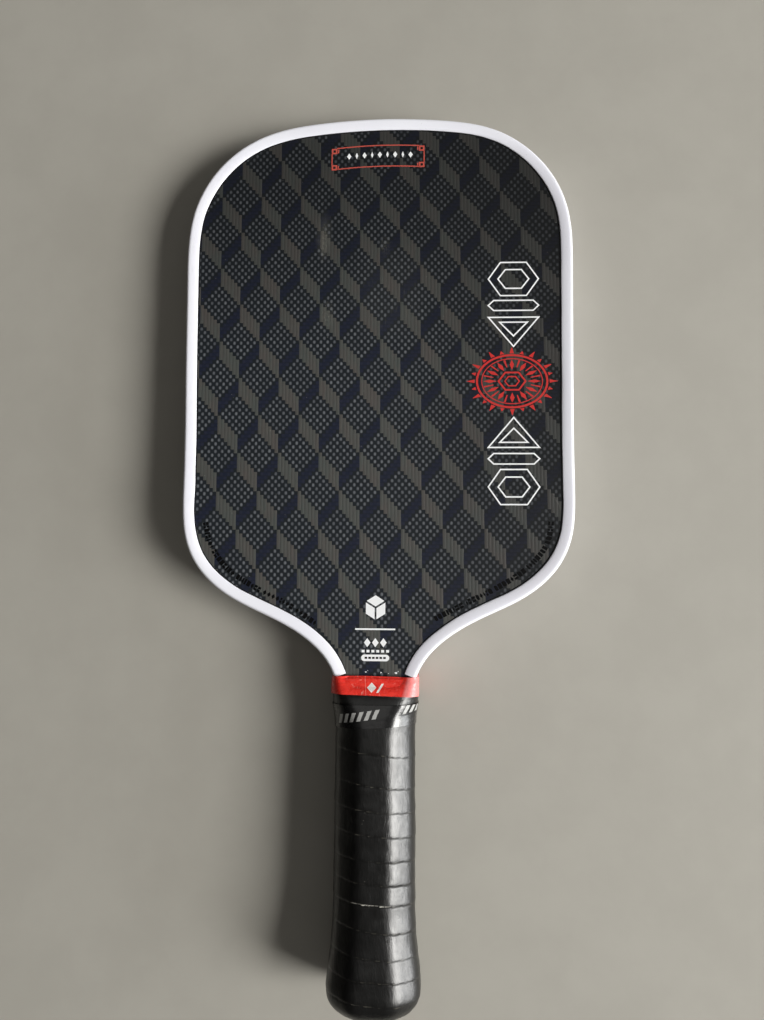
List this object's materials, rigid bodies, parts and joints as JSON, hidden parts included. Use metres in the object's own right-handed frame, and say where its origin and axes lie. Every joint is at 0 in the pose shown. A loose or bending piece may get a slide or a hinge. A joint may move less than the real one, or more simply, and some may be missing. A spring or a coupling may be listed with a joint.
{
  "type": "pickleball paddle",
  "caption": "Hybrid-shape pickleball paddle with a rounded head, white edge guard, dark woven face, red neck tape and black wrapped handle with a flared butt.",
  "frame": {"origin": "centre of the bounding box, on the middle plane of the laminate", "axes": "+Z out of the front hitting face, +Y from the butt towards the top of the head, X across the width"},
  "size_m": [0.188, 0.419, 0.036],
  "materials": {
    "honeycomb": "satin",
    "foam": "matte",
    "scrim": "matte",
    "carbon": "satin",
    "woven_face": "satin",
    "guard": "satin",
    "butt_cap": "matte",
    "butt_plug": "gloss",
    "base_grip": "matte",
    "neck_tape": "gloss",
    "overgrip": "satin",
    "black_tape": "gloss"
  },
  "bodies": {
    "root": {"honeycomb_core": "honeycomb", "perimeter_foam": "foam", "handle_core": "foam", "core_scrim_front": "scrim", "core_scrim_back": "scrim", "carbon_ply_front": "carbon", "carbon_ply_back": "carbon", "woven_face_front": "woven_face", "woven_face_back": "woven_face", "edge_wrap": "carbon", "edge_guard": "guard", "handle_pallet_front": "foam", "handle_pallet_back": "foam", "butt_cap": "butt_cap", "butt_cap_plug": "butt_plug", "base_grip": "base_grip", "neck_tape": "neck_tape", "overgrip": "overgrip", "overgrip_tape": "black_tape"}
  },
  "joints": []
}
